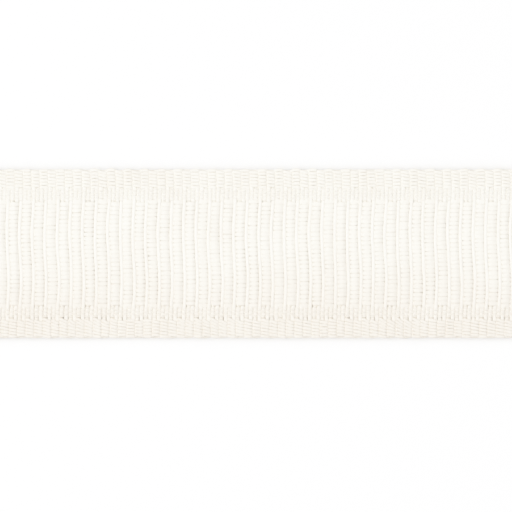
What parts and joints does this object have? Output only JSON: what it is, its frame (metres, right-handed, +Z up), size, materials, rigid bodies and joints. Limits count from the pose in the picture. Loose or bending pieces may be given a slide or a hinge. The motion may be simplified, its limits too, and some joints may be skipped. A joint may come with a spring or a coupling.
{
  "type": "length of ribbed braid trim",
  "caption": "Cut length of flat woven braid trim, with crosswise ribs down the middle, a fine ground beside them and a plain selvedge along each long edge, lying flat.",
  "frame": {"origin": "centre of the underside, on the surface that the trim lies on", "axes": "+X along the trim, +Y across it towards the far selvedge, +Z up out of its face"},
  "size_m": [0.143, 0.0382, 0.0016],
  "materials": {
    "cream_yarn": "soft cream yarn with a slight sheen, woven into ribs"
  },
  "bodies": {
    "root": {"trim_band": "cream_yarn"}
  },
  "joints": []
}
